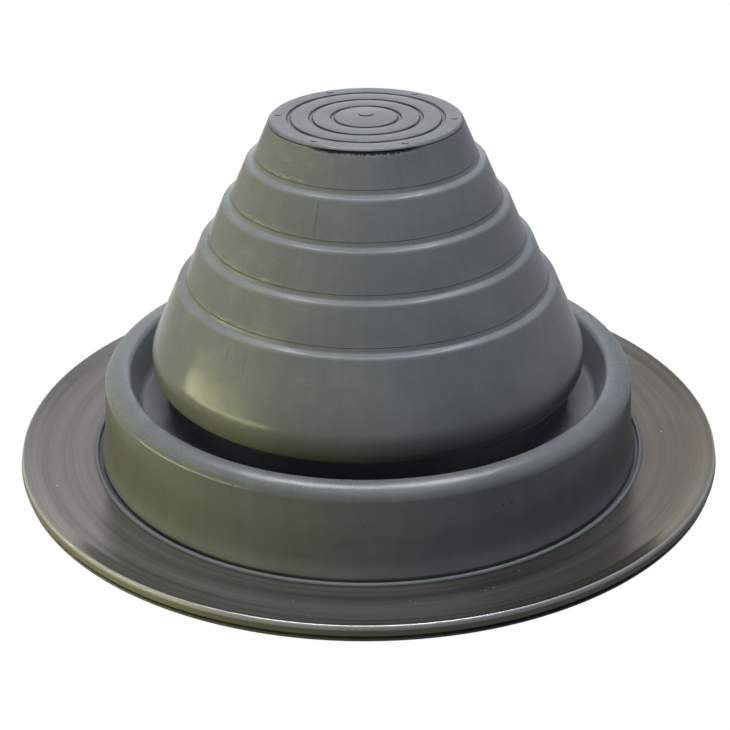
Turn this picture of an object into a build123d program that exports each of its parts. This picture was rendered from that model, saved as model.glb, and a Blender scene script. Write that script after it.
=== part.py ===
from build123d import *
import os
from math import cos, hypot, radians, sin, tan

# Pipe flashing boot, millimetres. A stepped rubber cone with a folded base is moulded in one piece,
# and a thin aluminium ring is bonded on its round flange. Origin: centre of the underside, +Z up.

# Rubber wall and overall height
height = 98.2                   # underside of the flange to the closed top
wall = 2.4                      # thickness of the cone, the fold and the outer wall

# Closed top: a disc with trimming rings for the smallest pipes
top_radius = 26.1
top_edge_radius = 0.9
lip_depth = 0.75                # the disc's rim ends in a fine parting notch this far down
notch_radius = 0.22
trim_ring_count = 3
trim_ring_inset = 5.3           # from the disc's edge in to the first ring
trim_ring_pitch = 5.9
trim_groove_radius = 0.5
vent_scar_count = 6             # scars that the mould's vents leave round the disc
vent_scar_inset = 2.4
vent_scar_radius = 0.42
vent_scar_angle = -65.0         # where the first scar lies, from +X
pin_mark_radius = 2.1           # crescent left by the mould's centre pin
pin_mark_offset = 2.1
pin_mark_width = 0.65
mark_depth = 0.5

# Stepped cone: every tier is a sloping wall, a steeper collar and a narrow shelf
step_count = 4
wall_slope = 23.75              # degrees from upright
wall_height = 9.98
top_wall_cut = 0.35             # the first wall is shorter by this, cut off by the closed top
collar_height = 1.25
collar_run = 0.4
shelf_run = 1.978
shelf_drop = 0.37
shelf_edge_radius = 0.9
shelf_root_radius = 0.5
size_line_depth = 0.16          # fine line under each wall, where the cone is cut to size

# Bottom tier: swells, then tucks under into the fold
bulge_swell = 8.376             # how far it stands out from the edge of the last shelf
bulge_shoulder_radius = 8.0
bulge_floor = 25.65             # height of the tuck's sharp corner before it is rounded
tuck_radius = 5.6
tuck_slope = 15.0               # degrees from level
tuck_depth = 6.05               # from the swell in to the neck of the fold
throat_root_radius = 2.3

# Fold: a U-shaped trough between the cone and the outer rim
trough_floor = 15.5
trough_width = 10.4
trough_lean = 2.35              # the trough's outer side leans out by this much
trough_inner_radius = 2.8
trough_outer_radius = 2.2
rim_height = 26.5
rim_width = 7.1
rim_inner_edge_radius = 1.8
rim_outer_edge_radius = 3.8

# Outer wall down to the flange
flare_height = 8.5
flare_run = 1.0                 # the wall leans out by this much above the flare
flare_blend = 45.0
foot_run = 1.5                  # and by this much below it
foot_height = 2.6
foot_blend = 0.4

# Aluminium base ring, formed from flat sheet
ring_width = 21.65
ring_bore_clearance = 1.2       # between the foot of the outer wall and the ring's bore
ring_sheet = 0.8
ring_seat = 1.0                 # underside of the ring at its bore
ring_rise_inset = 5.1           # nearly flat out to here from the bore, then dished up to the crest
ring_rise = 1.2
ring_rise_blend = 6.0
ring_crest_rise = 1.5
ring_crest_inset = 0.55
ring_edge_blend = 0.9
ring_edge_gap = 1.1             # open groove between the ring's edge and the rubber lip

# Rubber flange under the ring
lip_inset = 0.4
lip_thickness = 0.8
lip_groove_depth = 2.0
bead_radius = 0.62              # bead that laps over the ring's bore
bead_offset = 0.35              # how far outside the bore the bead's centre lies
root_groove_depth = 0.6         # groove between the bead and the foot of the outer wall
rib_groove_count = 4            # sealing grooves underneath, spaced evenly
rib_groove_width = 1.2
rib_groove_depth = 0.5

smallest_radius = 0.1           # inside corners of a wall are never sharper than this
corner_room = 0.96              # part of its straights that a corner's rounding may take

# Sizes that follow, from the cone outwards
wall_run = wall_height * tan(radians(wall_slope))
tier_run = wall_run + collar_run + shelf_run
tier_drop = wall_height + collar_height + shelf_drop
first_edge = top_radius - top_wall_cut * tan(radians(wall_slope))
bulge_radius = first_edge + step_count * tier_run + bulge_swell
throat_radius = bulge_radius - tuck_depth
trough_outer = throat_radius + trough_width
rim_inner = trough_outer + trough_lean
rim_outer = rim_inner + rim_width
flare_radius = rim_outer + flare_run
foot_radius = flare_radius + foot_run
ring_inner = foot_radius + ring_bore_clearance
ring_outer = ring_inner + ring_width


def directions(points):
    """Unit direction and length of each straight."""
    found = []
    for (r0, z0), (r1, z1) in zip(points[:-1], points[1:]):
        length = hypot(r1 - r0, z1 - z0)
        found.append(((r1 - r0) / length, (z1 - z0) / length, length))
    return found


def moved_path(points, radii, distance):
    """The same rounded path, moved sideways into the material on its right."""
    runs = directions(points)
    moved = []
    moved_radii = []
    for i, (r, z) in enumerate(points):
        before = runs[max(i - 1, 0)]
        after = runs[min(i, len(runs) - 1)]
        normal_r = before[1] + after[1]
        normal_z = -before[0] - after[0]
        share = 1 + before[0] * after[0] + before[1] * after[1]
        moved.append((r + normal_r / share * distance, z + normal_z / share * distance))
        turn = before[0] * after[1] - before[1] * after[0]
        grown = radii[i] + distance if turn > 0 else radii[i] - distance
        moved_radii.append(max(grown, smallest_radius) if radii[i] > 0 else 0)
    return moved, moved_radii


def fitted_radii(points, radii):
    """Corner radii, each shortened where it would overrun half of the straights beside it."""
    runs = directions(points)
    fitted = [0.0]
    for i in range(1, len(points) - 1):
        before, after = runs[i - 1], runs[i]
        along = before[0] * after[0] + before[1] * after[1]
        half_turn_tangent = ((1 - along) / (1 + along)) ** 0.5
        room = min(before[2] * corner_share(radii, i, i - 1), after[2] * corner_share(radii, i, i + 1))
        limit = corner_room * room / half_turn_tangent
        fitted.append(min(radii[i], limit))
    return fitted + [0.0]


def corner_share(radii, corner, neighbour):
    """Part of the straight between two corners that the first one's rounding may take."""
    both = radii[corner] + radii[neighbour]
    return radii[corner] / both if both > 0 else 0.5


def strip_face(points, radii, thickness):
    """Closed section of a formed wall, from its outer path and its thickness."""
    inner, inner_radii = moved_path(points, radii, thickness)
    outer_fit = fitted_radii(points, radii)
    inner_fit = fitted_radii(inner, inner_radii)
    outline = points + inner[::-1]
    return make_face(FilletPolyline(*outline, radius=outer_fit + inner_fit[::-1], close=True))


def area_face(points):
    return make_face(Polyline(*points, close=True))


def disc_face(r, z, radius):
    return Pos(r, z) * Circle(radius)


def tier_edge(k):
    """Upper edge of a tier's wall; the first one lies just above the closed top."""
    return first_edge + k * tier_run, height + top_wall_cut - k * tier_drop


def boot_path():
    """Outer surface of the rubber from the middle of the top to the flange, as (radius, height)."""
    path = [(0, height, 0), (top_radius, height, top_edge_radius)]
    for k in range(step_count):
        r, z = tier_edge(k)
        if k:
            path.append((r, z, shelf_edge_radius))
        path.append((r + wall_run + collar_run, z - wall_height - collar_height, shelf_root_radius))
    shelf_edge = tier_edge(step_count)[1]
    path.append((bulge_radius - bulge_swell, shelf_edge, shelf_edge_radius))
    path.append((bulge_radius, shelf_edge - bulge_swell / tan(radians(wall_slope)), bulge_shoulder_radius))
    path.append((bulge_radius, bulge_floor, tuck_radius))
    tuck_drop = (bulge_radius - throat_radius) * tan(radians(tuck_slope))
    path.append((throat_radius, bulge_floor - tuck_drop, throat_root_radius))
    path.append((throat_radius, trough_floor, trough_inner_radius))
    path.append((trough_outer, trough_floor, trough_outer_radius))
    path.append((rim_inner, rim_height, rim_inner_edge_radius))
    path.append((rim_outer, rim_height, rim_outer_edge_radius))
    path.append((flare_radius, flare_height, flare_blend))
    path.append((foot_radius, foot_height, foot_blend))
    path.append((foot_radius, 0, 0))
    return [p[:2] for p in path], [p[2] for p in path]


def size_line_places():
    """Foot of each sloping wall, where the collar below it starts."""
    places = []
    for k in range(step_count):
        r, z = tier_edge(k)
        places.append((r + wall_run, z - wall_height))
    return places


def ring_path():
    """Top surface of the aluminium ring, from its bore to the bottom of its turned-down edge."""
    top = ring_seat + ring_sheet
    crest = top + ring_rise + ring_crest_rise
    edge = lip_thickness + ring_edge_gap
    points = [
        (ring_inner, top),
        (ring_outer - ring_rise_inset, top + ring_rise),
        (ring_outer - ring_crest_inset, crest),
        (ring_outer, edge),
    ]
    return points, [0, ring_rise_blend, ring_edge_blend, 0]


def ring_face():
    points, radii = ring_path()
    return strip_face(points, radii, ring_sheet)


def flange_face():
    """Rubber below the ring: filled up to the sheet, with a lip at the edge and ribs underneath."""
    points, radii = ring_path()
    seat, seat_radii = moved_path(points, radii, ring_sheet)
    above = [(ring_inner, height), seat[0], seat[1], seat[2], (ring_outer + wall, seat[2][1]),
             (ring_outer + wall, height)]
    above_radii = fitted_radii(above, [0, 0, seat_radii[1], 0, 0, 0])
    clear = FilletPolyline(*above, radius=above_radii, close=True)
    lip = ring_outer - lip_inset
    groove = lip - lip_groove_depth
    outline = [(foot_radius - wall, 0), (lip, 0), (lip, lip_thickness), (groove, lip_thickness),
               (groove, seat[2][1]), (ring_inner, seat[2][1]), (ring_inner, ring_seat + ring_sheet),
               (foot_radius - wall, ring_seat + ring_sheet)]
    face = area_face(outline) - make_face(clear)
    rib_pitch = (groove - foot_radius) / (rib_groove_count + 1)
    half_width = rib_groove_width / 2
    for k in range(rib_groove_count):
        r = foot_radius + (k + 1) * rib_pitch
        notch = [(r - half_width, 0), (r, rib_groove_depth), (r + half_width, 0), (r, -rib_groove_depth)]
        face -= area_face(notch)
    return face


def boot_face():
    points, radii = boot_path()
    face = strip_face(points, radii, wall)
    face += flange_face()
    ring_top = ring_seat + ring_sheet
    bead_middle = ring_inner + bead_offset
    groove_outer = bead_middle - bead_radius
    groove_floor = ring_top - root_groove_depth
    face -= area_face([(foot_radius, groove_floor), (groove_outer, groove_floor), (groove_outer, ring_top),
                       (foot_radius, ring_top)])
    face += disc_face(bead_middle, ring_top, bead_radius)
    face -= ring_face()
    for k in range(trim_ring_count):
        face -= disc_face(top_radius - trim_ring_inset - k * trim_ring_pitch, height, trim_groove_radius)
    notch = height - lip_depth
    face -= disc_face(top_radius + lip_depth * tan(radians(wall_slope)), notch, notch_radius)
    for r, z in size_line_places():
        face -= disc_face(r + size_line_depth / 2, z, size_line_depth)
    return face


def revolved(face):
    """Turns a (radius, height) section about the upright axis."""
    return revolve(Plane.XZ * face, axis=Axis.Z, revolution_arc=360)


def top_marks():
    """Vent scars round the top disc and the crescent near its middle."""
    marks = []
    for k in range(vent_scar_count):
        angle = radians(vent_scar_angle + k * 360 / vent_scar_count)
        circle = top_radius - vent_scar_inset
        place = Pos(circle * cos(angle), circle * sin(angle), height)
        marks.append(place * Cylinder(vent_scar_radius, 2 * mark_depth))
    crescent = disc_face(0, pin_mark_offset, pin_mark_radius)
    crescent -= disc_face(0, pin_mark_offset + pin_mark_width, pin_mark_radius)
    marks.append(extrude(Pos(0, 0, height) * crescent, amount=mark_depth, both=True))
    return marks


def make_boot():
    boot = revolved(boot_face())
    for mark in top_marks():
        boot -= mark
    return boot


def make_base_ring():
    return revolved(ring_face())


parts = {"rubber_boot": make_boot(), "base_ring": make_base_ring()}

os.makedirs("parts", exist_ok=True)
for name, part in parts.items():
    export_step(part, os.path.join("parts", name + ".step"))
    size = part.bounding_box().size
    print(f"{name}: {part.volume / 1000:.1f} cm3, {size.X:.1f} x {size.Y:.1f} x {size.Z:.1f} mm")
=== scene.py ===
import math

import bmesh
import bpy
from mathutils import Matrix, Vector, noise


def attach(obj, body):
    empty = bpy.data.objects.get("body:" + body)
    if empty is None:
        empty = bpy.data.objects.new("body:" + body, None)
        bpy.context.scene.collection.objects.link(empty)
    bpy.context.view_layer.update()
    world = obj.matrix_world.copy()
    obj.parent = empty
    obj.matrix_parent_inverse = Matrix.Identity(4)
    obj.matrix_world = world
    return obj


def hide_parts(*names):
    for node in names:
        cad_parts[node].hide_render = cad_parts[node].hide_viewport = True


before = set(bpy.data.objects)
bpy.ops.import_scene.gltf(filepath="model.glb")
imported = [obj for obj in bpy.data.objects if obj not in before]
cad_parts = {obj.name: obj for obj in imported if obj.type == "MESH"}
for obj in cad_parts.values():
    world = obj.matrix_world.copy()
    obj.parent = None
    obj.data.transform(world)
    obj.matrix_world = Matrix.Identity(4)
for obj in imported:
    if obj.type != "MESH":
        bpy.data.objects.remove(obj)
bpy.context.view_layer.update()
mm = 0.001
print("stage 1: frame loaded,", len(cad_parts), "nodes")

# the boot's section, from the middle of the top outwards, with the solid's own values apart from the rim's
# crown and the width of the trimming rings
boot = {
    "steps": 300,                  # slices round the axis
    "arcStep": 12,                 # degrees of turn for each piece of a rounded corner
    "hiddenArcStep": 30,
    "height": 98.2 * mm,
    "wall": 2.4 * mm,
    "topRadius": 26.1 * mm,
    "topEdge": 0.9 * mm,
    "lipDepth": 0.75 * mm,         # the disc's rim ends in a parting notch here
    "notchDepth": 0.3 * mm,
    "notchHalf": 0.2 * mm,
    "notchRoom": 0.8 * mm,         # plain wall left for the tear below it
    "ringCount": 3,                # trimming rings on the closed top
    "ringInset": 5.3 * mm,
    "ringPitch": 5.9 * mm,
    "ringHalf": 0.65 * mm,
    "ringDepth": 0.5 * mm,
    "ringFloor": 0.55,             # the floor's part of their width
    "ringBrink": 0.12 * mm,
    "ringRoot": 0.2 * mm,
    "tiers": 4,
    "slope": math.radians(23.75),  # of each wall, from upright
    "wallHeight": 9.98 * mm,
    "topWallCut": 0.35 * mm,       # the first wall is shorter by this
    "collarHeight": 1.25 * mm,
    "collarRun": 0.4 * mm,
    "shelfRun": 1.978 * mm,
    "shelfDrop": 0.37 * mm,
    "shelfEdge": 0.9 * mm,
    "shelfRoot": 0.5 * mm,
    "lineDepth": 0.16 * mm,        # fine line at the foot of each wall
    "lineBack": 1.5,               # how far it cuts in and comes out, as parts of its depth
    "lineOut": 0.28,
    "bulgeSwell": 8.376 * mm,
    "bulgeShoulder": 8.0 * mm,
    "bulgeFloor": 25.65 * mm,
    "tuckRadius": 3.85 * mm,
    "tuckSlope": math.radians(15),
    "tuckDepth": 6.05 * mm,
    "throatRoot": 2.3 * mm,
    "troughFloor": 15.5 * mm,
    "troughWidth": 10.4 * mm,
    "troughLean": 2.35 * mm,
    "troughInner": 2.8 * mm,
    "troughOuter": 2.2 * mm,
    "rimHeight": 26.5 * mm,
    "rimWidth": 7.1 * mm,
    "rimInnerEdge": 1.8 * mm,
    "crownRun": 3.8 * mm,          # the rim's top is crowned, as the light on it in the photo shows
    "crownDrop": 1.47 * mm,
    "crownBlend": 6.5 * mm,
    "rimOuterEdge": 2.8 * mm,
    "flareHeight": 8.5 * mm,
    "flareRun": 1.0 * mm,
    "flareBlend": 45.0 * mm,
    "footRun": 1.5 * mm,
    "footHeight": 2.6 * mm,
    "footBlend": 0.4 * mm,
    "beadRadius": 0.62 * mm,       # bead that laps over the metal ring's bore
    "beadOffset": 0.35 * mm,
    "beadRound": 0.98,             # of its radius
    "beadSink": 0.02 * mm,
    "rootGroove": 0.6 * mm,        # depth of the groove between the bead and the foot
    "lipInset": 0.4 * mm,
    "lipThickness": 0.8 * mm,
    "lipEdge": 0.25 * mm,
    "lipGroove": 2.0 * mm,
    "ribCount": 4,                 # sealing grooves underneath
    "ribHalf": 0.6 * mm,
    "ribDepth": 0.5 * mm,
}

# how both pieces' outlines are rounded, spun and cut
drawing = {
    "leastRadius": 0.1 * mm,
    "roomShare": 0.96,             # of a side, for the two rounded corners at its ends
    "profile": 0.5,                # of a bevel, a round one
    "leastPieces": 2,
    "doubles": 0.002 * mm,
    "cutterSides": 48,
    "smoothAngle": math.radians(38),
}

ring = {
    "steps": 480,
    "arcStep": 12,
    "boreGap": 1.2 * mm,           # from the foot of the rubber wall
    "width": 21.65 * mm,
    "sheet": 0.8 * mm,
    "seat": 1.0 * mm,              # its underside at the bore
    "riseInset": 5.1 * mm,
    "rise": 1.2 * mm,
    "riseBlend": 6.0 * mm,
    "crestRise": 1.5 * mm,
    "crestInset": 0.55 * mm,
    "edgeBlend": 0.54 * mm,
    "edgeGap": 1.1 * mm,
}

# marks that the mould leaves in the top disc, cut into it
topMarks = {
    "depth": 0.5 * mm,
    "scarCount": 6,
    "scarInset": 2.4 * mm,
    "scarRadius": 0.95 * mm,
    "scarWidth": 0.62 * mm,
    "scarStart": math.radians(-65),
    "pinRadius": 2.1 * mm,         # crescent of the centre pin
    "pinOffset": 2.1 * mm,
    "pinWidth": 0.95 * mm,
}

# unevenness of the moulding, always into the rubber so that it stays inside its size
moulding = {
    "swayDepth": 0.16 * mm,        # slow waves of the skin, none on the flange
    "swaySize": 22 * mm,
    "swayStart": 4.0 * mm,
    "swayEase": 10.0 * mm,
    "lipWave": 0.2 * mm,           # along the disc's rim
    "lipWaveSize": 2.4 * mm,
    "tearDepth": 0.7 * mm,         # the parting line under the rim is torn, most of all in front
    "tearDrop": 0.75 * mm,
    "tearSize": 0.8 * mm,
    "tearReach": math.radians(30),
    "tearElsewhere": 0.2,          # part of it that is left away from the front
    "tearStart": 0.3,              # less than this doesn't hang down
    "notchReach": 1.3,             # of the notch's half height
    "lipReach": 1.2 * mm,          # inwards from the disc's edge
    "nickAzimuth": math.radians(67),   # a nick in the bead, from the front to the right
    "nickReach": math.radians(1.9),
    "nickDepth": 0.5 * mm,
    "nickWidth": 1.1,              # of the bead's radius
    "axisReach": 0.01 * mm,        # nearer to the axis than this nothing moves
}

tierRun = boot["wallHeight"] * math.tan(boot["slope"]) + boot["collarRun"] + boot["shelfRun"]
tierDrop = boot["wallHeight"] + boot["collarHeight"] + boot["shelfDrop"]
firstEdge = boot["topRadius"] - boot["topWallCut"] * math.tan(boot["slope"])
bulgeRadius = firstEdge + boot["tiers"] * tierRun + boot["bulgeSwell"]
throatRadius = bulgeRadius - boot["tuckDepth"]
rimInner = throatRadius + boot["troughWidth"] + boot["troughLean"]
rimOuter = rimInner + boot["rimWidth"]
footRadius = rimOuter + boot["flareRun"] + boot["footRun"]
ringBore = footRadius + ring["boreGap"]
ringEdge = ringBore + ring["width"]
ringTop = ring["seat"] + ring["sheet"]


def heading(a, b):
    return (Vector((b[0], b[1])) - Vector((a[0], a[1]))).normalized()


def shifted(corners, distance):
    # the same outline, moved sideways into the material on its right
    moved = []
    last = len(corners) - 2
    for i, (r, z, radius) in enumerate(corners):
        before = heading(corners[max(i, 1) - 1], corners[max(i, 1)])
        after = heading(corners[min(i, last)], corners[min(i, last) + 1])
        side = Vector((before.y + after.y, -before.x - after.x)) / (1 + before.dot(after))
        turnsLeft = before.x * after.y - before.y * after.x > 0
        grown = radius + distance if turnsLeft else radius - distance
        grown = max(grown, drawing["leastRadius"]) if radius else 0
        moved.append((r + side.x * distance, z + side.y * distance, grown))
    return moved


def ringCorners():
    return [
        (ringBore, ringTop, 0),
        (ringEdge - ring["riseInset"], ringTop + ring["rise"], ring["riseBlend"]),
        (ringEdge - ring["crestInset"], ringTop + ring["rise"] + ring["crestRise"], ring["edgeBlend"]),
        (ringEdge, boot["lipThickness"] + ring["edgeGap"], 0),
    ]


def topCorners():
    # the closed disc with its trimming rings, then the notch under its lip
    corners = [(0, boot["height"], 0)]
    floor = boot["height"] - boot["ringDepth"]
    halfFloor = boot["ringFloor"] * boot["ringHalf"]
    for k in reversed(range(boot["ringCount"])):
        middle = boot["topRadius"] - boot["ringInset"] - k * boot["ringPitch"]
        corners.append((middle - boot["ringHalf"], boot["height"], boot["ringBrink"]))
        corners.append((middle - halfFloor, floor, boot["ringRoot"]))
        corners.append((middle + halfFloor, floor, boot["ringRoot"]))
        corners.append((middle + boot["ringHalf"], boot["height"], boot["ringBrink"]))
    corners.append((boot["topRadius"], boot["height"], boot["topEdge"]))
    for down, inwards in ((-1, 0), (0, boot["notchDepth"]), (1, 0)):
        depth = boot["lipDepth"] + down * boot["notchHalf"]
        edge = boot["topRadius"] + depth * math.tan(boot["slope"])
        corners.append((edge - inwards, boot["height"] - depth, 0))
    below = boot["lipDepth"] + moulding["tearDrop"] + boot["notchRoom"]
    corners.append((boot["topRadius"] + below * math.tan(boot["slope"]), boot["height"] - below, 0))
    return corners


def coneCorners():
    corners = []
    line = boot["lineDepth"]
    wallRun = boot["wallHeight"] * math.tan(boot["slope"])
    for k in range(boot["tiers"]):
        r = firstEdge + k * tierRun
        z = boot["height"] + boot["topWallCut"] - k * tierDrop
        if k:
            corners.append((r, z, boot["shelfEdge"]))
        foot = z - boot["wallHeight"]
        end = r + wallRun
        corners.append((end - line * math.tan(boot["slope"]), foot + line, 0))
        corners.append((end - boot["lineBack"] * line, foot, 0))
        corners.append((end + boot["lineOut"] * line, foot - line, 0))
        corners.append((end + boot["collarRun"], foot - boot["collarHeight"], boot["shelfRoot"]))
    shelf = boot["height"] + boot["topWallCut"] - boot["tiers"] * tierDrop
    corners.append((bulgeRadius - boot["bulgeSwell"], shelf, boot["shelfEdge"]))
    shoulder = shelf - boot["bulgeSwell"] / math.tan(boot["slope"])
    corners.append((bulgeRadius, shoulder, boot["bulgeShoulder"]))
    return corners


def foldCorners():
    tuckDrop = boot["tuckDepth"] * math.tan(boot["tuckSlope"])
    return [
        (bulgeRadius, boot["bulgeFloor"], boot["tuckRadius"]),
        (throatRadius, boot["bulgeFloor"] - tuckDrop, boot["throatRoot"]),
        (throatRadius, boot["troughFloor"], boot["troughInner"]),
        (throatRadius + boot["troughWidth"], boot["troughFloor"], boot["troughOuter"]),
        (rimInner, boot["rimHeight"], boot["rimInnerEdge"]),
        (rimInner + boot["crownRun"], boot["rimHeight"], boot["crownBlend"]),
        (rimOuter, boot["rimHeight"] - boot["crownDrop"], boot["rimOuterEdge"]),
        (rimOuter + boot["flareRun"], boot["flareHeight"], boot["flareBlend"]),
        (footRadius, boot["footHeight"], boot["footBlend"]),
    ]


def flangeCorners():
    bead = boot["beadRadius"]
    beadMiddle = ringBore + boot["beadOffset"]
    corners = [
        (footRadius, ringTop - boot["rootGroove"], 0),
        (beadMiddle - bead, ringTop - boot["rootGroove"], 0),
        (beadMiddle - bead, ringTop + bead, boot["beadRound"] * bead),
        (beadMiddle + bead, ringTop + bead, boot["beadRound"] * bead),
        (beadMiddle + bead, ringTop, 0),
        (ringBore, ringTop - boot["beadSink"], 0),
    ]
    seat = shifted(ringCorners(), ring["sheet"])
    lip = ringEdge - boot["lipInset"]
    groove = lip - boot["lipGroove"]
    rise = (seat[2][1] - seat[1][1]) / (seat[2][0] - seat[1][0])
    corners.append((ringBore, seat[0][1], 0))
    corners.append(seat[1])
    corners.append((groove, seat[1][1] + rise * (groove - seat[1][0]), 0))
    corners.append((groove, boot["lipThickness"], 0))
    corners.append((lip, boot["lipThickness"], boot["lipEdge"]))
    corners.append((lip, 0, boot["lipEdge"]))
    pitch = (groove - footRadius) / (boot["ribCount"] + 1)
    for k in reversed(range(boot["ribCount"])):
        middle = footRadius + (k + 1) * pitch
        corners.append((middle + boot["ribHalf"], 0, 0))
        corners.append((middle, boot["ribDepth"], 0))
        corners.append((middle - boot["ribHalf"], 0, 0))
    return corners


def innerCorners():
    # inside of the wall, from the foot back up to the middle of the top
    outside = [(0, boot["height"], 0), (boot["topRadius"], boot["height"], boot["topEdge"])]
    for corner in coneCorners() + foldCorners():
        onSizeLine = corner[2] == 0
        if not onSizeLine:
            outside.append(corner)
    outside.append((footRadius, 0, 0))
    return shifted(outside, boot["wall"])[::-1]


def selectNear(piece, place):
    bpy.ops.mesh.select_all(action="DESELECT")
    mesh = bmesh.from_edit_mesh(piece.data)
    nearest = min(mesh.verts, key=lambda v: (v.co - Vector(place)).length)
    nearest.select = True
    mesh.select_flush_mode()
    bmesh.update_edit_mesh(piece.data)


def drawOutline(name, corners, arcStep, hiddenFrom=None, hiddenArcStep=None):
    # one vertex is pulled from corner to corner in the XZ plane, then the corners are rounded
    bpy.ops.object.select_all(action="DESELECT")
    bpy.ops.mesh.primitive_plane_add(size=mm, location=(corners[0][0], 0, corners[0][1]))
    piece = bpy.context.object
    piece.name = name
    piece.data.name = name
    bpy.ops.object.transform_apply(location=True, rotation=False, scale=False)
    bpy.ops.object.mode_set(mode="EDIT")
    bpy.ops.mesh.select_all(action="SELECT")
    bpy.ops.mesh.merge(type="CENTER")
    for before, after in zip(corners, corners[1:]):
        step = (after[0] - before[0], 0, after[1] - before[1])
        bpy.ops.mesh.extrude_vertices_move(TRANSFORM_OT_translate={"value": step})
    turns = [0.0]
    for before, corner, after in zip(corners, corners[1:], corners[2:]):
        turns.append(heading(before, corner).angle(heading(corner, after)))
    turns.append(0.0)
    reach = [corner[2] * math.tan(turn / 2) for corner, turn in zip(corners, turns)]
    room = drawing["roomShare"]
    for i in range(1, len(corners) - 1):
        r, z, radius = corners[i]
        if not radius:
            continue
        back = math.dist(corners[i - 1][:2], (r, z))
        ahead = math.dist(corners[i + 1][:2], (r, z))
        # neighbouring rounds share the side between them
        offset = min(reach[i], room * back * reach[i] / (reach[i] + reach[i - 1]),
                     room * ahead * reach[i] / (reach[i] + reach[i + 1]))
        step = hiddenArcStep if hiddenFrom and i >= hiddenFrom else arcStep
        pieces = max(drawing["leastPieces"], round(math.degrees(turns[i]) / step))
        selectNear(piece, (r, 0, z))
        bpy.ops.mesh.bevel(affect="VERTICES", offset=offset, profile=drawing["profile"], segments=pieces)
    return piece


def spinOutline(piece, steps):
    bpy.ops.mesh.select_all(action="SELECT")
    bpy.ops.mesh.spin(steps=steps, angle=math.tau, center=(0, 0, 0), axis=(0, 0, 1))
    bpy.ops.mesh.select_all(action="SELECT")
    bpy.ops.mesh.remove_doubles(threshold=drawing["doubles"])
    bpy.ops.mesh.normals_make_consistent(inside=False)
    bpy.ops.object.mode_set(mode="OBJECT")


def smoothPiece(piece):
    bpy.ops.object.select_all(action="DESELECT")
    piece.select_set(True)
    bpy.context.view_layer.objects.active = piece
    bpy.ops.object.shade_smooth_by_angle(angle=drawing["smoothAngle"])
    print("  ", piece.name, len(piece.data.vertices), "vertices", len(piece.data.polygons), "faces")


def addCutter(radius, x, y):
    bpy.ops.object.select_all(action="DESELECT")
    bpy.ops.mesh.primitive_cylinder_add(vertices=drawing["cutterSides"], radius=radius,
                                        depth=2 * topMarks["depth"], location=(x, y, boot["height"]))
    return bpy.context.object


def cutAway(piece, cutter):
    bpy.ops.object.select_all(action="DESELECT")
    bpy.context.view_layer.objects.active = piece
    cut = piece.modifiers.new("cut", "BOOLEAN")
    cut.operation = "DIFFERENCE"
    cut.solver = "EXACT"
    cut.object = cutter
    bpy.ops.object.modifier_apply(modifier=cut.name)
    bpy.data.objects.remove(cutter, do_unlink=True)


def addCrescent(radius, width, x, y):
    crescent = addCutter(radius, x, y)
    cutAway(crescent, addCutter(radius, x, y + width))
    return crescent


def cutTopMarks(piece):
    marks = [addCrescent(topMarks["pinRadius"], topMarks["pinWidth"], 0, topMarks["pinOffset"])]
    circle = boot["topRadius"] - topMarks["scarInset"]
    for k in range(topMarks["scarCount"]):
        angle = topMarks["scarStart"] + k * math.tau / topMarks["scarCount"]
        marks.append(addCrescent(topMarks["scarRadius"], topMarks["scarWidth"],
                                 circle * math.cos(angle), circle * math.sin(angle)))
    bpy.ops.object.select_all(action="DESELECT")
    for mark in marks:
        mark.select_set(True)
    bpy.context.view_layer.objects.active = marks[0]
    bpy.ops.object.join()
    cutAway(piece, marks[0])


def waves(x, y, z, size):
    # smooth noise from 0 to 1
    return 0.5 + 0.5 * noise.noise(Vector((x, y, z)) / size)


def tearAt(x, y, azimuth):
    # how far the parting line is torn at this place
    front = math.exp(-(azimuth / moulding["tearReach"]) ** 4)
    share = moulding["tearElsewhere"] + (1 - moulding["tearElsewhere"]) * front
    return share * waves(x, y, 0, moulding["tearSize"])


def ageSkin(piece):
    # waves of the skin, the torn parting line under the disc's rim and the nick in the bead
    notch = boot["height"] - boot["lipDepth"]
    nearNotch = moulding["notchReach"] * boot["notchHalf"]
    beadMiddle = ringBore + boot["beadOffset"]
    nearBead = moulding["nickWidth"] * boot["beadRadius"]
    for vertex in piece.data.vertices:
        x, y, z = vertex.co
        r = math.hypot(x, y)
        onLip = r > boot["topRadius"] - moulding["lipReach"]
        if z < moulding["swayStart"]:
            if abs(r - beadMiddle) < nearBead and z > ringTop:
                turn = abs(math.atan2(x, -y) - moulding["nickAzimuth"]) / moulding["nickReach"]
                vertex.co.z -= moulding["nickDepth"] * max(0, 1 - turn)
            continue
        if z > notch + nearNotch and not onLip or r < moulding["axisReach"]:
            continue
        ease = min(1, (z - moulding["swayStart"]) / moulding["swayEase"])
        inwards = ease * moulding["swayDepth"] * waves(x, y, z, moulding["swaySize"])
        if onLip and z > notch + nearNotch:
            inwards += moulding["lipWave"] * waves(x, y, 0, moulding["lipWaveSize"])
        if onLip and abs(z - notch) < nearNotch:
            tear = tearAt(x, y, math.atan2(x, -y))
            if r < boot["topRadius"]:
                inwards += moulding["tearDepth"] * tear
            elif z < notch:
                drop = moulding["tearDrop"] * max(0, tear - moulding["tearStart"])
                vertex.co.z -= drop
                inwards -= drop * math.tan(boot["slope"])
        vertex.co.x -= x / r * inwards
        vertex.co.y -= y / r * inwards


def makeBoot():
    outside = topCorners() + coneCorners() + foldCorners() + flangeCorners()
    corners = outside + innerCorners()
    piece = drawOutline("bootRubber", corners, boot["arcStep"], len(outside), boot["hiddenArcStep"])
    spinOutline(piece, boot["steps"])
    cutTopMarks(piece)
    ageSkin(piece)
    smoothPiece(piece)
    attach(piece, "root")
    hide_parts("rubber_boot")
    return piece


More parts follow.
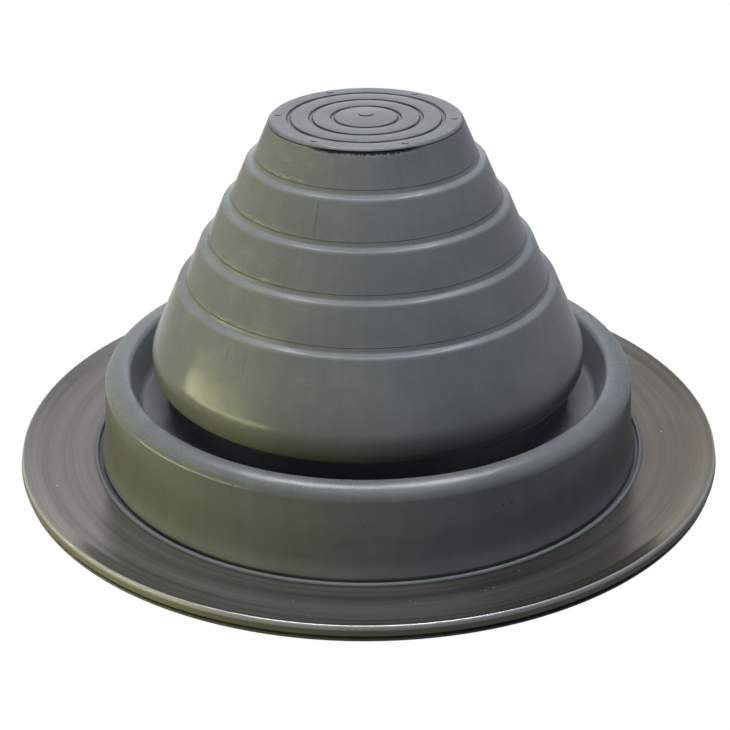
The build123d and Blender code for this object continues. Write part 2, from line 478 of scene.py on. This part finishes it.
def makeRing():
    top = ringCorners()
    under = shifted(top, ring["sheet"])[::-1]
    piece = drawOutline("ringMetal", top + under + [top[0]], ring["arcStep"])
    spinOutline(piece, ring["steps"])
    smoothPiece(piece)
    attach(piece, "root")
    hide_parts("base_ring")
    return piece


bootPiece = makeBoot()
print("stage 2: rubber boot spun")
ringPiece = makeRing()
print("stage 3: metal ring spun")


class Wire:
    # a node socket that can stand in sums

    def __init__(self, tree, socket=None):
        self.tree = tree
        self.socket = socket

    def node(self, kind, settings=None, sockets=None, output=0):
        made = self.tree.nodes.new(kind)
        for key, value in (settings or {}).items():
            setattr(made, key, value)
        for key, value in (sockets or {}).items():
            if isinstance(value, Wire):
                self.tree.links.new(value.socket, made.inputs[key])
            else:
                made.inputs[key].default_value = value
        return Wire(self.tree, made.outputs[output])

    def maths(self, operation, first, second=0.0):
        return self.node("ShaderNodeMath", {"operation": operation}, {0: first, 1: second})

    def __add__(self, other):
        return self.maths("ADD", self, other)

    def __radd__(self, other):
        return self.maths("ADD", other, self)

    def __sub__(self, other):
        return self.maths("SUBTRACT", self, other)

    def __rsub__(self, other):
        return self.maths("SUBTRACT", other, self)

    def __mul__(self, other):
        return self.maths("MULTIPLY", self, other)

    def __rmul__(self, other):
        return self.maths("MULTIPLY", other, self)

    def __truediv__(self, other):
        return self.maths("DIVIDE", self, other)


def newMaterial(name):
    material = bpy.data.materials.new(name)
    material.use_nodes = True
    tree = material.node_tree
    tree.nodes.clear()
    shader = tree.nodes.new("ShaderNodeBsdfPrincipled")
    output = tree.nodes.new("ShaderNodeOutputMaterial")
    tree.links.new(shader.outputs[0], output.inputs["Surface"])
    return material, Wire(tree), shader


def feed(shader, name, wire):
    wire.tree.links.new(wire.socket, shader.inputs[name])


# detail and roughness of each kind of noise
noiseKinds = {
    "soft": (1.0, 0.5),
    "plain": (2.0, 0.5),
    "lumpy": (3.0, 0.5),
    "broken": (3.0, 0.6),
    "lined": (3.0, 0.65),
    "cloudy": (4.0, 0.6),
}
noiseMiddle = 0.5
spotEdge = (0.6, 1.4)              # where a spot starts and stops to fade, as parts of its size

rubberLook = {
    "colour": (0.205, 0.218, 0.224, 1),
    "bloom": (0.250, 0.262, 0.262, 1),     # paler patches where the rubber has bloomed
    "darkShadeAndGrime": (0.020, 0.021, 0.022, 1),     # painted shade in the rings, marks, parting line and root groove; dark pits and creases
    "paintedGlint": (0.44, 0.43, 0.27, 1),       # painted yellow glints on thin lines above the size lines
    "dustAndGlint": (0.36, 0.36, 0.27, 1),         # fine pale specks in dusty patches, partly painted glints
    "roughness": 0.22,
    "specular": 0.29,
    "bumpDepth": 0.6 * mm,
    "bloomSize": 26 * mm,
    "grainSize": 0.55 * mm,
    "streakSize": 2.2 * mm,        # faint marks of the flow, down the cone
    "streakStretch": (0.06, 0.06),     # of the pattern, across and upwards
    "scuffSize": 1.6 * mm,         # short level scuffs
    "scuffStretch": (0.12, 2.5),
    "threadSize": 0.5 * mm,        # breaks in the painted glint lines
    "threadStretch": (0.16, 2.0),
    "speckSize": 0.45 * mm,
    "dustSize": 13 * mm,
    "grimeSize": 7 * mm,
    "rippleSize": 7 * mm,
    "lipPatchSize": 1.8 * mm,
    "lumpSize": 1.1 * mm,
    "pitSize": 0.28 * mm,
    "pitLift": 0.25 * mm,          # out from the top of the wall
    # azimuth from the front in degrees, height in mm
    "pits": [(-15.2, 22.6), (-3.2, 24.2), (-1.0, 16.8), (26.7, 17.9), (28.7, 17.7), (-52, 13), (61, 15),
             (118, 19), (-140, 16), (171, 21)],
    "creaseWander": 0.4 * mm,      # from side to side
    "creaseFade": 1.0,             # at both ends, in mm
    # azimuth, lowest and highest point
    "creases": [(-41.7, 44.0, 50.5), (-35.3, 44.5, 49.0), (-27.3, 20.5, 25.5), (-21.5, 77.5, 86.0),
                (96, 43, 50), (150, 20, 25)],
    # where each mark starts and stops, and then the values there if they aren't 0 and 1;
    # the note on the first of a group says what is measured
    "places": {
        "bloomed": (0.35, 0.75),       # of the noise
        "darkScuff": (0.6, 0.8),
        "paleScuff": (0.68, 0.8),
        "thread": (0.46, 0.60),
        "speck": (0.55, 0.70),
        "dusty": (0.46, 0.62),
        "grimy": (0.35, 0.6, 0.6, 1.0),
        "lipPatch": (0.42, 0.62),
        "ragged": (0.44, 0.54, 0.5, 1.0),
        "tuckFront": (0.86, 0.97),     # to the front
        "rimShade": (0.3, 0.9, 0.12, -0.14),
        "tornFront": (0.80, 0.93),
        "lowWallSide": (-0.95, 0.0, 0.25, 1.0),    # to the right
        "glintSide": (-0.42, -0.64),
        "glintEnd": (-0.95, -0.84),
        "dustGlintSide": (0.1, -0.5, 0.3, 1.0),
        "tornEnd": (0.62, 0.42),
        "wallFoot": (4 * mm, 8 * mm),      # height
        "lowWall": (6 * mm, 15 * mm, 0.14, 0.0),
        "troughHeight": (26 * mm, 42 * mm, 1.0, 0.0),
        "tuckHeight": (28 * mm, 35 * mm, 1.0, 0.0),
        "coneFoot": (43 * mm, 46 * mm),
        "shelvesFrom": (50 * mm, 51 * mm),
        "shelvesTo": (90 * mm, 91 * mm, 1.0, 0.0),
        "glintFrom": (50 * mm, 52 * mm),
        "shelfFlat": (10.2 * mm, 10.8 * mm),       # down from the top of each tier
        "shelfCorner": (0.3 * mm, 0.9 * mm, 1.0, 0.0),
        "wallEndFrom": (8.5 * mm, 9.3 * mm),
        "wallEndTo": (9.6 * mm, 9.85 * mm, 1.0, 0.0),
        "wallSkin": (-1.2 * mm, -0.2 * mm),        # out from the outer wall
        "insideRim": (-1.5 * mm, 0.0, 1.0, 0.0),   # out from the inner side of the rim
        "rimFrom": (0.0, 1.0 * mm),
        "rimAbove": (-3.2 * mm, -1.2 * mm),        # up from the rim's top
        "disc": (-0.6 * mm, -0.2 * mm),            # up from the disc
        "lipAbove": (-0.9 * mm, -0.7 * mm),
        "lumpAbove": (-1.2 * mm, -0.9 * mm),
        "grooveAbove": (-1.2 * mm, -0.8 * mm),
        "grooveBelow": (-0.14 * mm, -0.03 * mm, 1.0, 0.0),
        "grooveFloor": (-0.48 * mm, -0.42 * mm, 1.0, 0.0),
        "lipFrom": (-2.6 * mm, -1.4 * mm),         # out from the disc's edge
        "lumpFrom": (-2.4 * mm, -1.2 * mm),
        "grooveTo": (-2.0 * mm, -1.0 * mm, 1.0, 0.0),
        "notchFrom": (-1.1 * mm, -0.6 * mm),
        "notchBelow": (0.22 * mm, 0.38 * mm, 1.0, 0.0),    # up from the parting notch
        "tornEdge": (-0.08 * mm, 0.02 * mm, 1.0, 0.0),     # down from the torn edge
        "pinMark": (4.4 * mm, 4.6 * mm),           # out from the axis
        "scarMarks": (22.0 * mm, 22.2 * mm, 1.0, 0.0),
        "rootFrom": (-0.35 * mm, -0.05 * mm),      # out from the foot
        "rootTo": (-0.15 * mm, 0.1 * mm, 1.0, 0.0),        # out from the ring's bore
        "rootBelow": (0.3 * mm, 0.9 * mm, 1.0, 0.0),       # up from the ring
        "creaseLine": (0.05 * mm, 0.2 * mm, 1.0, 0.0),     # away from its middle
        "creaseFront": (0.0, 10 * mm),
    },
    # how much each mark counts
    "shares": {
        "grainShade": 0.16,
        "streakShade": 0.12,
        "darkScuff": 0.16,
        "paleScuff": 0.06,
        "trough": 0.22,
        "outerWall": 0.10,
        "paintedTuckShadow": 0.26,
        "shelf": 0.18,
        "disc": 0.07,
        "lipPatch": 0.16,
        "glintElsewhere": 0.06,
        "paintedGlint": 0.75,
        "dustAndGlint": 0.42,
        "tornLeast": 0.16 * mm,
        "tornMost": 0.62 * mm,
        "notch": 0.45,
        "notchFront": 0.52,
        "groove": 0.78,
        "grooveFloor": 0.4,
        "root": 0.5,
        "mark": 0.85,
        "pit": 0.8,
        "crease": 0.35,
        "bloomRough": 0.10,
        "grainRough": 0.06,
        "shadeAndGrimeRough": 0.3,
        "rimRough": 0.06,
        "rippleBump": 0.25,
        "grainBump": 0.018,
        "scuffBump": 0.02,
        "lumpBump": 0.12,
        "creaseBump": 0.08,
    },
}

metalLook = {
    "colour": (0.235, 0.224, 0.208, 1),
    "stain": (0.192, 0.178, 0.146, 1),     # brownish patches
    "crest": (0.50, 0.49, 0.48, 1),        # painted highlight along the crest
    "edge": (0.180, 0.172, 0.140, 1),      # dull turned-down edge
    "chip": (0.62, 0.62, 0.60, 1),
    "roughness": 0.24,
    "metallic": 0.72,              # the oxide skin scatters some of the light
    "anisotropic": 0.15,
    "anisotropicTurn": 0.25,
    "bumpDepth": 0.05 * mm,
    "turnStretch": (0.0006, 1.0),  # the brushed lines change only slowly round the ring
    "stainSize": 30 * mm,
    "stainLean": 2.0,
    "bandSize": 2.3 * mm,          # brushed lines run round the ring
    "lineSize": 0.85 * mm,
    "fineLineSize": 0.32 * mm,
    "grainSize": 0.6 * mm,
    "chipSize": 0.26 * mm,
    "chipLift": 0.3 * mm,
    # azimuth from the front in degrees, radius in mm
    "chips": [(-12.3, 88.8), (-45.5, 82.0), (-9.0, 94.8), (17.0, 82.9), (19.2, 87.5), (20.9, 87.1),
              (6.5, 87.6), (7.4, 88.7), (27.3, 82.9), (49.8, 81.4), (-70, 92), (88, 86), (135, 91),
              (-120, 85), (178, 94)],
    # where each mark starts and stops, as above
    "places": {
        "stained": (0.40, 0.75),       # of the noise
        "frontLineContrast": (0.3, 0.9, 0.35, 1.0),     # to the front, where the brushed lines are painted stronger, a painted reflection
        "arcFront": (0.3, 0.6),
        "arcFrom": (0.15, 0.40),       # to the right
        "arcTo": (0.60, 0.80, 1.0, 0.0),
        "bore": (0.6 * mm, 2.0 * mm, 0.8, 1.0),    # out from the bore
        "crest": (-1.15 * mm, -0.75 * mm),         # out from the edge
        "edge": (-0.6 * mm, -0.4 * mm),
        "edgeBelow": (3.1 * mm, 3.6 * mm, 1.0, 0.0),       # height
    },
    # how much each mark counts
    "shares": {
        "bandShade": 1.2,
        "lineShade": 1.1,
        "fineLineShade": 0.4,
        "grainShade": 0.14,
        "arc": 0.24,
        "chip": 0.8,
        "dull": 0.5,
        "fineLineRough": 0.1,
        "stainRough": 0.12,
        "edgeRough": 0.2,
        "lineBump": 0.5,
        "fineLineBump": 0.2,
        "grainBump": 0.03,
    },
}


def aroundAxis(azimuth, r, z):
    # place at an azimuth from the front, in metres
    angle = math.radians(azimuth)
    return (r * math.sin(angle), -r * math.cos(angle), z)


def parts(w, place):
    return [w.node("ShaderNodeSeparateXYZ", None, {0: place}, output=i) for i in range(3)]


def surfacePlace(w):
    # object coordinates, with the distance from the axis
    coords = w.node("ShaderNodeTexCoord", output=3)
    x, y, z = parts(w, coords)
    level = w.node("ShaderNodeCombineXYZ", None, {0: x, 1: y, 2: 0.0})
    r = w.node("ShaderNodeVectorMath", {"operation": "LENGTH"}, {0: level}, output=1)
    return coords, x, y, z, r


def stretched(w, x, y, z, across, upwards):
    return w.node("ShaderNodeCombineXYZ", None, {0: x * across, 1: y * across, 2: z * upwards})


def noiseAt(w, place, size, kind="plain"):
    detail, roughness = noiseKinds[kind]
    return w.node("ShaderNodeTexNoise", None,
                  {"Vector": place, "Scale": 1 / size, "Detail": detail, "Roughness": roughness})


def ramp(w, value, start, end, low=0.0, high=1.0):
    return w.node("ShaderNodeMapRange", {"interpolation_type": "SMOOTHSTEP"},
                  {0: value, 1: start, 2: end, 3: low, 4: high})


def most(w, first, *others):
    for other in others:
        first = w.maths("MAXIMUM", first, other)
    return first


def mixed(w, share, first, second):
    return w.node("ShaderNodeMix", {"data_type": "RGBA"}, {0: share, 6: first, 7: second}, output=2)


def shaded(w, colour, shade):
    grey = w.node("ShaderNodeCombineColor", None, {0: shade, 1: shade, 2: shade})
    return w.node("ShaderNodeMix", {"data_type": "RGBA", "blend_type": "MULTIPLY"},
                  {0: 1.0, 6: colour, 7: grey}, output=2)


def bumped(w, relief, depth):
    return w.node("ShaderNodeBump", None, {"Strength": 1.0, "Distance": depth, "Height": relief})


def nearPlaces(w, coords, places, size):
    # 1 at each of the places, 0 away from them
    nearest = None
    for place in places:
        gap = w.node("ShaderNodeVectorMath", {"operation": "DISTANCE"}, {0: coords, 1: place}, output=1)
        nearest = w.maths("MINIMUM", nearest, gap) if nearest else gap
    return ramp(w, nearest, spotEdge[0] * size, spotEdge[1] * size, 1.0, 0.0)


def creaseLines(w, coords, z, grain):
    # upright cuts in the skin
    look = rubberLook
    places = look["places"]
    crease = None
    for azimuth, low, high in look["creases"]:
        side = aroundAxis(azimuth + 90, 1, 0)
        ahead = aroundAxis(azimuth, 1, 0)
        gap = w.node("ShaderNodeVectorMath", {"operation": "DOT_PRODUCT"}, {0: coords, 1: side}, output=1)
        front = w.node("ShaderNodeVectorMath", {"operation": "DOT_PRODUCT"}, {0: coords, 1: ahead}, output=1)
        wander = (grain - noiseMiddle) * look["creaseWander"]
        line = ramp(w, w.maths("ABSOLUTE", gap + wander), *places["creaseLine"])
        line = line * ramp(w, z, low * mm, (low + look["creaseFade"]) * mm)
        line = line * ramp(w, z, (high - look["creaseFade"]) * mm, high * mm, 1.0, 0.0)
        line = line * ramp(w, front, *places["creaseFront"])
        crease = most(w, crease, line) if crease else line
    return crease


def makeRubber():
    look = rubberLook
    places, shares = look["places"], look["shares"]
    material, w, shader = newMaterial("greyRubber")
    coords, x, y, z, r = surfacePlace(w)
    toRight = x / r
    toFront = 0 - y / r
    fromRim = r - rimInner
    fromEdge = r - boot["topRadius"]
    upFromDisc = z - boot["height"]
    bloom = noiseAt(w, coords, look["bloomSize"], "cloudy")
    grain = noiseAt(w, coords, look["grainSize"])
    streak = noiseAt(w, stretched(w, x / r, y / r, z, *look["streakStretch"]), look["streakSize"])
    level = stretched(w, x, y, z, *look["scuffStretch"])
    scuff = noiseAt(w, level, look["scuffSize"], "broken")
    onOuterWall = ramp(w, r - rimOuter, *places["wallSkin"]) * ramp(w, z, *places["wallFoot"])

    colour = mixed(w, ramp(w, bloom, *places["bloomed"]), look["colour"], look["bloom"])
    shade = 1 + (grain - noiseMiddle) * shares["grainShade"] + (streak - noiseMiddle) * shares["streakShade"]
    shade = shade - onOuterWall * ramp(w, scuff, *places["darkScuff"]) * shares["darkScuff"]
    shade = shade + (1 - onOuterWall) * ramp(w, scuff, *places["paleScuff"]) * shares["paleScuff"]
    # painted shade: the rubber is darkened in the trough, and in front under the swollen tier, where shadow
    # falls
    insideRim = ramp(w, fromRim, *places["insideRim"])
    troughShadeMask = insideRim * ramp(w, z, *places["troughHeight"])
    paintedTuckShadow = insideRim * ramp(w, z, *places["tuckHeight"]) * ramp(w, toFront, *places["tuckFront"])
    # painted shade: the outer wall is darker all round, and darker still low down except on the left, where
    # the lamp falls
    shade = shade * (1 - shares["trough"] * troughShadeMask) * (1 - shares["outerWall"] * onOuterWall)
    shade = shade * (1 - shares["paintedTuckShadow"] * paintedTuckShadow)
    lowWallShade = ramp(w, z, *places["lowWall"]) * ramp(w, toRight, *places["lowWallSide"])
    shade = shade * (1 - onOuterWall * lowWallShade)

    # painted light and shade: the shelves lighter, the disc darker, the rim lighter at the sides and darker in
    # front
    tier = w.maths("FLOORED_MODULO", boot["height"] + boot["topWallCut"] - z, tierDrop)
    onShelf = most(w, ramp(w, tier, *places["shelfFlat"]), ramp(w, tier, *places["shelfCorner"]))
    onShelf = onShelf * ramp(w, z, *places["shelvesFrom"]) * ramp(w, z, *places["shelvesTo"])
    onRim = ramp(w, fromRim, *places["rimFrom"]) * ramp(w, z - boot["rimHeight"], *places["rimAbove"])
    onDisc = ramp(w, upFromDisc, *places["disc"])
    shade = shade * (1 + shares["shelf"] * onShelf) * (1 - shares["disc"] * onDisc)
    shade = shade * (1 + onRim * ramp(w, toFront, *places["rimShade"]))
    lipPatch = ramp(w, noiseAt(w, coords, look["lipPatchSize"], "broken"), *places["lipPatch"])
    lipPatch = lipPatch * ramp(w, fromEdge, *places["lipFrom"]) * ramp(w, upFromDisc, *places["lipAbove"])
    shade = shade * (1 + lipPatch * shares["lipPatch"])
    colour = shaded(w, colour, shade)

    # painted yellow glints along thin lines at the foot of the walls, and dusty patches with partly painted
    # glints, both most of all on the left
    toLeft = ramp(w, toRight, *places["glintSide"]) * ramp(w, toRight, *places["glintEnd"])
    wallEnd = ramp(w, tier, *places["wallEndFrom"]) * ramp(w, tier, *places["wallEndTo"])
    wallEnd = wallEnd * ramp(w, z, *places["glintFrom"])
    thread = noiseAt(w, stretched(w, x, y, z, *look["threadStretch"]), look["threadSize"])
    paintedGlint = wallEnd * (shares["glintElsewhere"] + (1 - shares["glintElsewhere"]) * toLeft)
    paintedGlint = paintedGlint * ramp(w, thread, *places["thread"])
    colour = mixed(w, paintedGlint * shares["paintedGlint"], colour, look["paintedGlint"])
    onCone = ramp(w, z, *places["coneFoot"]) * (1 - onDisc)
    # dust specks, yellowish and strongest on the left: partly dust, partly painted glints of the left lamp
    speck = ramp(w, noiseAt(w, level, look["speckSize"], "soft"), *places["speck"])
    dustAndGlint = speck * ramp(w, noiseAt(w, coords, look["dustSize"]), *places["dusty"])
    dustAndGlint = dustAndGlint * onCone * ramp(w, toRight, *places["dustGlintSide"])
    colour = mixed(w, dustAndGlint * shares["dustAndGlint"], colour, look["dustAndGlint"])

    # painted shade in the trimming rings and the mould's marks, varied in patches
    inGroove = ramp(w, upFromDisc, *places["grooveBelow"]) * ramp(w, upFromDisc, *places["grooveAbove"])
    inGroove = inGroove * ramp(w, fromEdge, *places["grooveTo"])
    inGroove = inGroove * ramp(w, noiseAt(w, coords, look["grimeSize"]), *places["grimy"])
    onFloor = ramp(w, upFromDisc, *places["grooveFloor"])
    inMark = inGroove * (1 - ramp(w, r, *places["pinMark"]) * ramp(w, r, *places["scarMarks"]))

    # painted shadow in the torn parting line under the disc's lip, strongest in front; painted shade in the
    # groove at the root; the pits and the creases
    upFromNotch = upFromDisc + boot["lipDepth"]
    ragged = ramp(w, noiseAt(w, coords, moulding["tearSize"], "broken"), *places["ragged"])
    tornFront = ramp(w, toFront, *places["tornFront"])
    torn = shares["tornLeast"] + tornFront * ragged * shares["tornMost"]
    inNotch = ramp(w, 0 - upFromNotch - torn, *places["tornEdge"])
    inNotch = inNotch * ramp(w, upFromNotch, *places["notchBelow"]) * ramp(w, fromEdge, *places["notchFrom"])
    atFront = ramp(w, toRight, *places["tornEnd"]) * tornFront
    inNotch = inNotch * (shares["notch"] + shares["notchFront"] * atFront)
    # painted shade in the groove between the wall's foot and the bead
    atRoot = ramp(w, r - footRadius, *places["rootFrom"]) * ramp(w, r - ringBore, *places["rootTo"])
    atRoot = atRoot * ramp(w, z - ringTop, *places["rootBelow"])
    pits = [aroundAxis(azimuth, rimOuter + look["pitLift"], height * mm) for azimuth, height in look["pits"]]
    crease = creaseLines(w, coords, z, grain)
    # painted shade and shadow in the rings, marks, notch and root groove, with the dark pits and creases, all
    # in one dark colour
    shadeAndGrime = most(w, inGroove * (shares["groove"] - shares["grooveFloor"] * onFloor), inNotch)
    shadeAndGrime = most(w, shadeAndGrime, inMark * shares["mark"])
    shadeAndGrime = most(w, shadeAndGrime, atRoot * shares["root"], nearPlaces(w, coords, pits, look["pitSize"]) * shares["pit"])
    shadeAndGrime = most(w, shadeAndGrime, crease * shares["crease"])
    colour = mixed(w, shadeAndGrime, colour, look["darkShadeAndGrime"])
    feed(shader, "Base Color", colour)

    rough = look["roughness"] + (bloom - noiseMiddle) * shares["bloomRough"] + shadeAndGrime * shares["shadeAndGrimeRough"]
    rough = rough + (grain - noiseMiddle) * shares["grainRough"] + onRim * shares["rimRough"]
    feed(shader, "Roughness", rough)
    shader.inputs["Specular IOR Level"].default_value = look["specular"]
    lumps = noiseAt(w, coords, look["lumpSize"], "lumpy") * ramp(w, fromEdge, *places["lumpFrom"])
    lumps = lumps * ramp(w, upFromDisc, *places["lumpAbove"])
    relief = noiseAt(w, coords, look["rippleSize"]) * shares["rippleBump"] + scuff * shares["scuffBump"]
    relief = relief + grain * (1 - onDisc) * shares["grainBump"] + lumps * shares["lumpBump"]
    feed(shader, "Normal", bumped(w, relief - crease * shares["creaseBump"], look["bumpDepth"]))
    return material


def makeMetal():
    look = metalLook
    places, shares = look["places"], look["shares"]
    material, w, shader = newMaterial("ringAluminium")
    coords, x, y, z, r = surfacePlace(w)
    toRight = x / r
    toFront = 0 - y / r
    # read along the radius, so the lines run round the ring
    turned = stretched(w, x / r, y / r, r, *look["turnStretch"])
    bands = noiseAt(w, turned, look["bandSize"], "soft")
    lines = noiseAt(w, turned, look["lineSize"], "lined")
    fineLines = noiseAt(w, turned, look["fineLineSize"])
    stain = noiseAt(w, coords, look["stainSize"], "cloudy")
    grain = noiseAt(w, coords, look["grainSize"])

    stained = ramp(w, stain + x * look["stainLean"], *places["stained"])
    colour = mixed(w, stained, look["colour"], look["stain"])
    # the brushed lines are real; their stronger contrast towards the front is a painted reflection of the lamp
    frontLineContrast = ramp(w, toFront, *places["frontLineContrast"])
    shade = 1 + (bands - noiseMiddle) * frontLineContrast * shares["bandShade"]
    shade = shade + (lines - noiseMiddle) * frontLineContrast * shares["lineShade"]
    shade = shade + (fineLines - noiseMiddle) * shares["fineLineShade"]
    shade = shade + (grain - noiseMiddle) * shares["grainShade"]
    # painted shade: the ring darker next to the rubber bead
    shade = shade * ramp(w, r - ringBore, *places["bore"])
    # painted shade: a darker arc on the ring's front right, a painted dark reflection
    darkArc = ramp(w, toRight, *places["arcFrom"]) * ramp(w, toRight, *places["arcTo"])
    darkArc = darkArc * ramp(w, toFront, *places["arcFront"])
    colour = shaded(w, colour, shade * (1 - shares["arc"] * darkArc))
    # painted highlight: the crest paler, and less metallic below
    crest = ramp(w, r - ringEdge, *places["crest"])
    colour = mixed(w, crest, colour, look["crest"])
    lowOnEdge = ramp(w, z, *places["edgeBelow"]) * ramp(w, r - ringEdge, *places["edge"])
    colour = mixed(w, lowOnEdge, colour, look["edge"])
    chipHeight = ringTop + look["chipLift"]
    chips = [aroundAxis(azimuth, radius * mm, chipHeight) for azimuth, radius in look["chips"]]
    flat = w.node("ShaderNodeCombineXYZ", None, {0: x, 1: y, 2: chipHeight})
    colour = mixed(w, nearPlaces(w, flat, chips, look["chipSize"]) * shares["chip"], colour, look["chip"])
    feed(shader, "Base Color", colour)

    feed(shader, "Metallic", look["metallic"] - shares["dull"] * most(w, crest, lowOnEdge))
    shader.inputs["Anisotropic"].default_value = look["anisotropic"]
    shader.inputs["Anisotropic Rotation"].default_value = look["anisotropicTurn"]
    rough = look["roughness"] + (fineLines - noiseMiddle) * shares["fineLineRough"]
    rough = rough + (stain - noiseMiddle) * shares["stainRough"] + lowOnEdge * shares["edgeRough"]
    feed(shader, "Roughness", rough)
    relief = lines * shares["lineBump"] + fineLines * shares["fineLineBump"] + grain * shares["grainBump"]
    feed(shader, "Normal", bumped(w, relief, look["bumpDepth"]))
    return material


bootPiece.data.materials.append(makeRubber())
ringPiece.data.materials.append(makeMetal())
print("stage 4: materials")

studio = {
    "floorSize": 6.0,
    "floorDrop": 0.1 * mm,
    "floorBounce": (0.20, 0.20, 0.20, 1),    # what the floor gives back to the boot
    "white": (1.0, 1.0, 1.0, 1),             # what the camera sees of the floor and the backdrop
    "shadowShare": 0.08,           # part of the floor's look that is real light
    "whiteSeen": 1.05,             # of the backdrop, to the camera
    "skyColour": (0.82, 0.88, 1.0, 1),
    "skyStrength": 0.02,
    "whiteRight": 0.40,            # in reflections the white backdrop falls off to this on the right
    "whiteLeft": 0.40,             # to this on the left
    "whiteFront": 0.05,            # to this towards the camera
    "whiteAbove": 0.28,            # and to this above the horizon
    "skyTurn": 0.5,                # how slowly, as a part of the sky's direction
    "floorTurn": 0.16,             # and in metres on the floor
    "rightReach": (-1.0, 1.0),     # where each fall starts and stops, in those units
    "leftReach": (-1.3, -0.3),
    "frontReach": (-1.0, 0.2),
    "aboveReach": (0.05, 0.4),     # as it is
}

# a lamp without gloss isn't mirrored, and one without diffuse is only mirrored
lamps = {
    "topLamp": {"place": (0.0, -0.13, 1.0), "size": (0.6, 0.6), "power": 8.6,
                "colour": (0.863, 0.915, 1.0), "gloss": False},
    "topShine": {"place": (0.0, 0.46, 0.89), "size": (0.5, 0.17), "power": 7.6,
                 "colour": (0.92, 0.95, 1.0), "diffuse": False},
    "leftLamp": {"place": (-0.55, -0.18, 0.06), "size": (0.3, 0.1), "power": 1.3,
                 "colour": (1.0, 0.978, 0.363), "gloss": False},
    "leftShine": {"place": (-0.42, -0.117, 0.014), "size": (0.42, 0.015), "power": 0.46,
                  "colour": (1.0, 0.97, 0.55), "diffuse": False},
    "farShine": {"place": (-1.93, -0.54, 0.07), "size": (2.1, 0.05), "power": 4.2,
                 "colour": (1.0, 0.97, 0.45), "diffuse": False},
    "backLamp": {"place": (0.0, 0.8, 0.25), "size": (0.5, 0.5), "power": 0.53,
                 "colour": (1.0, 1.0, 1.0)},
}

camera = {
    "lens": 79.365,
    "sensor": 36.0,
    "distance": 465.04 * mm,
    "elevation": math.radians(27.104),
    "aim": (-0.83 * mm, 0, 23.44 * mm),
    "roll": math.radians(-0.478),
}


def makeFloor():
    bpy.ops.object.select_all(action="DESELECT")
    bpy.ops.mesh.primitive_plane_add(size=studio["floorSize"], location=(0, 0, 0))
    floor = bpy.context.object
    floor.name = "studioFloor"
    floor.data.transform(Matrix.Translation((0, 0, -studio["floorDrop"])))
    material = bpy.data.materials.new("paleFloor")
    material.use_nodes = True
    tree = material.node_tree
    tree.nodes.clear()
    w = Wire(tree)
    seen = cameraOrMirror(w)
    coords = w.node("ShaderNodeTexCoord", output=3)
    bright = whiteness(w, coords, studio["floorTurn"])
    white = w.node("ShaderNodeEmission", None, {"Color": studio["white"], "Strength": bright})
    colour = mixed(w, seen, studio["floorBounce"], studio["white"])
    matt = w.node("ShaderNodeBsdfDiffuse", None, {"Color": colour})
    look = w.node("ShaderNodeMixShader", None, {0: seen * (1 - studio["shadowShare"]), 1: matt, 2: white})
    out = tree.nodes.new("ShaderNodeOutputMaterial")
    tree.links.new(look.socket, out.inputs["Surface"])
    floor.data.materials.append(material)


def cameraOrMirror(w):
    kinds = ("Is Camera Ray", "Is Glossy Ray", "Is Transmission Ray")
    return most(w, *[w.node("ShaderNodeLightPath", output=kind) for kind in kinds])


def whiteness(w, place, turn):
    # white to the camera; in reflections it falls off to the right and towards the camera
    across, along, above = parts(w, place)
    right, left, front = [[turn * end for end in studio[reach]]
                          for reach in ("rightReach", "leftReach", "frontReach")]
    mirrored = ramp(w, across, *right, 1.0, studio["whiteRight"])
    mirrored = mirrored * ramp(w, across, *left, studio["whiteLeft"], 1.0)
    mirrored = mirrored * ramp(w, along, *front, studio["whiteFront"], 1.0)
    mirrored = mirrored * ramp(w, above, *studio["aboveReach"], 1.0, studio["whiteAbove"])
    straight = w.node("ShaderNodeLightPath", output="Is Camera Ray")
    return most(w, mirrored, straight * studio["whiteSeen"])


def makeWorld():
    world = bpy.data.worlds.new("studioSky")
    bpy.context.scene.world = world
    world.use_nodes = True
    tree = world.node_tree
    tree.nodes.clear()
    w = Wire(tree)
    glow = {"Color": studio["skyColour"], "Strength": studio["skyStrength"]}
    sky = w.node("ShaderNodeBackground", None, glow)
    bright = whiteness(w, w.node("ShaderNodeTexCoord"), studio["skyTurn"])
    white = w.node("ShaderNodeBackground", None, {"Color": studio["white"], "Strength": bright})
    seen = w.node("ShaderNodeMixShader", None, {0: cameraOrMirror(w), 1: sky, 2: white})
    out = tree.nodes.new("ShaderNodeOutputWorld")
    tree.links.new(seen.socket, out.inputs["Surface"])


def addLamp(name, look):
    bpy.ops.object.light_add(type="AREA", location=look["place"])
    lamp = bpy.context.object
    lamp.name = name
    lamp.data.shape = "RECTANGLE"
    lamp.data.size, lamp.data.size_y = look["size"]
    lamp.data.energy = look["power"]
    lamp.data.color = look["colour"]
    lamp.visible_camera = False
    lamp.visible_diffuse = look.get("diffuse", True)
    lamp.visible_glossy = look.get("gloss", True)
    aim = Vector((0, 0, boot["height"] / 2)) - Vector(look["place"])
    lamp.rotation_euler = aim.to_track_quat("-Z", "Y").to_euler()


def makeCamera():
    bpy.ops.object.camera_add()
    eye = bpy.context.object
    eye.name = "photoCamera"
    eye.data.lens = camera["lens"]
    eye.data.sensor_width = camera["sensor"]
    back = Vector((0, -math.cos(camera["elevation"]), math.sin(camera["elevation"])))
    place = Vector((0, 0, camera["aim"][2])) + back * camera["distance"]
    back = (place - Vector(camera["aim"])).normalized()
    right = Vector((0, 0, 1)).cross(back).normalized()
    up = back.cross(right)
    turnedRight = right * math.cos(camera["roll"]) + up * math.sin(camera["roll"])
    turnedUp = up * math.cos(camera["roll"]) - right * math.sin(camera["roll"])
    axes = Matrix((turnedRight, turnedUp, back)).transposed().to_4x4()
    eye.matrix_world = Matrix.Translation(place) @ axes
    bpy.context.scene.camera = eye


makeFloor()
makeWorld()
for name, look in lamps.items():
    addLamp(name, look)
makeCamera()
bpy.context.scene.view_settings.view_transform = "Standard"
print("stage 5: floor, light and camera")
